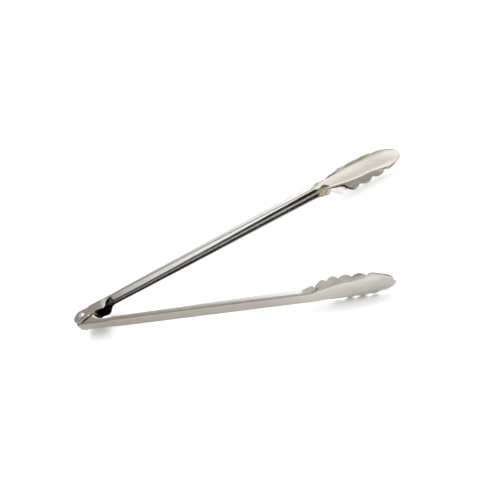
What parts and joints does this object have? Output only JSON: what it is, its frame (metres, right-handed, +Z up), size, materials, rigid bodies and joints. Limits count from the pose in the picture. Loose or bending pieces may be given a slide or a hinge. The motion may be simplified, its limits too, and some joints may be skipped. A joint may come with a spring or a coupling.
{
  "type": "kitchen tongs",
  "caption": "Long spring loaded kitchen tongs with two pressed steel channel arms, scalloped scoop heads and a riveted hinge.",
  "frame": {"origin": "middle of the open tongs' box, at the height of the heads' lowest side edges", "axes": "+X from the hinge to the tips, +Y to the outer arm, +Z up along the rivet"},
  "size_m": [0.3992, 0.1664, 0.0368],
  "materials": {
    "arm_steel": "bright pressed stainless sheet, fine drawing lines along the arm",
    "rivet_steel": "smooth headed stainless rivet",
    "sleeve_steel": "plain turned steel tube",
    "spring_steel": "drawn stainless spring wire"
  },
  "bodies": {
    "outer_arm": {"outer_arm": "arm_steel", "pivot_rivet": "rivet_steel", "spacer_sleeve": "sleeve_steel", "torsion_spring": "spring_steel"},
    "inner_arm": {"inner_arm": "arm_steel"}
  },
  "joints": [
    {"name": "arm_hinge", "type": "hinge", "parent": "outer_arm", "child": "inner_arm", "pos_m": [-0.18886, 0, 0.01838], "axis": [0, 0, 1], "range_deg": [0, 23.5], "stiffness_Nm_per_rad": 1.5, "springref_deg": -20.05, "deforming": ["torsion_spring"]}
  ]
}
